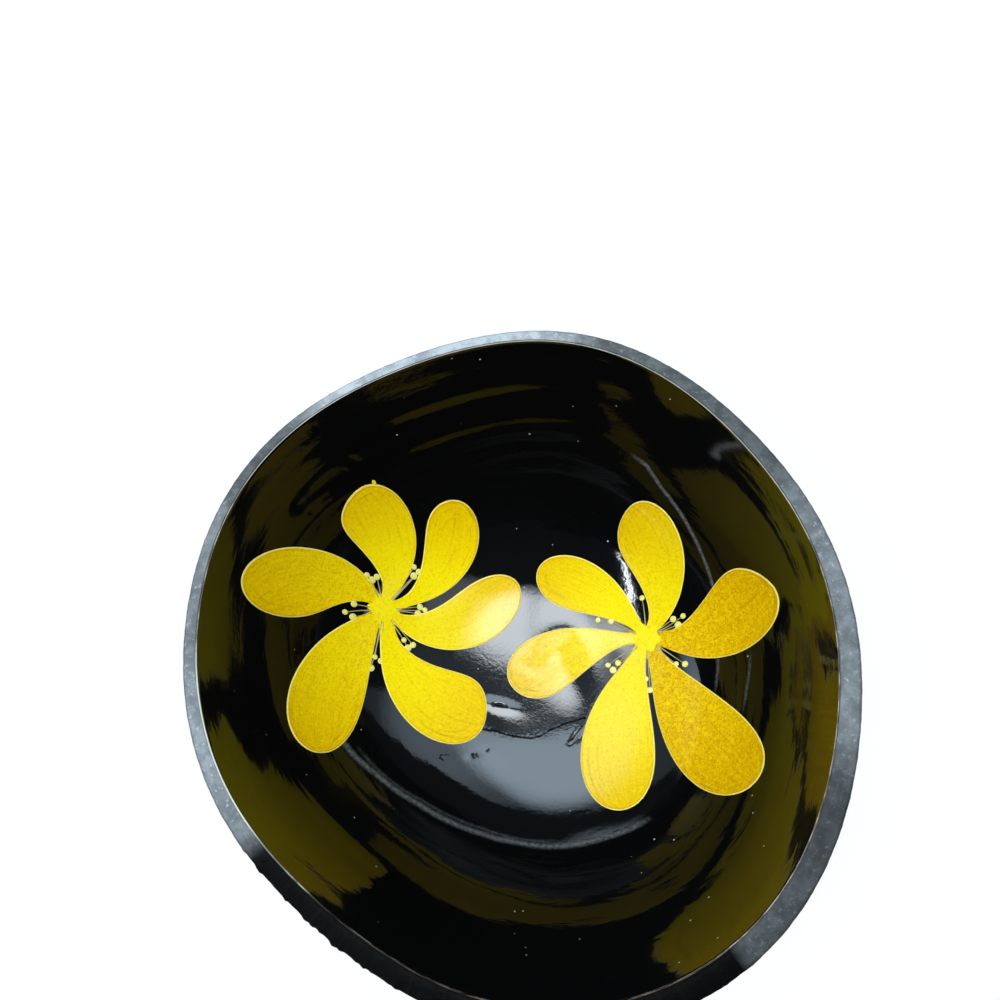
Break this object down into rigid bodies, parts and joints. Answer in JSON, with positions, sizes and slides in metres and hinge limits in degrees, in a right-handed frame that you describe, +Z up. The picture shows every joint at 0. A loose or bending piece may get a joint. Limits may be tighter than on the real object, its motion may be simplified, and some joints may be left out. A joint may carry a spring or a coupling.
{
  "type": "coconut shell bowl",
  "caption": "Small bowl made from half a coconut shell, with a flat ground base, a dark polished outside and a black gloss hollow painted with gold flowers.",
  "frame": {"origin": "centre of the flat ground base, on the table", "axes": "+Z up out of the mouth, +X to the right and +Y to the back as one looks into the bowl with the flowers upright"},
  "size_m": [0.1305, 0.1353, 0.0591],
  "materials": {
    "bare_shell": "ground and sanded natural coconut shell",
    "black_lacquer": "high-gloss black lacquer",
    "dark_polish": "satin dark polish over coconut fibre",
    "gold_paint": "hand-brushed golden yellow paint under gloss",
    "pale_paint": "hand-brushed pale yellow paint under gloss"
  },
  "bodies": {
    "root": {"coconut_shell": "bare_shell", "inner_lacquer": "black_lacquer", "outer_polish": "dark_polish", "left_flower_petals": "gold_paint", "left_flower_stamens": "pale_paint", "right_flower_petals": "gold_paint", "right_flower_stamens": "pale_paint"}
  },
  "joints": []
}
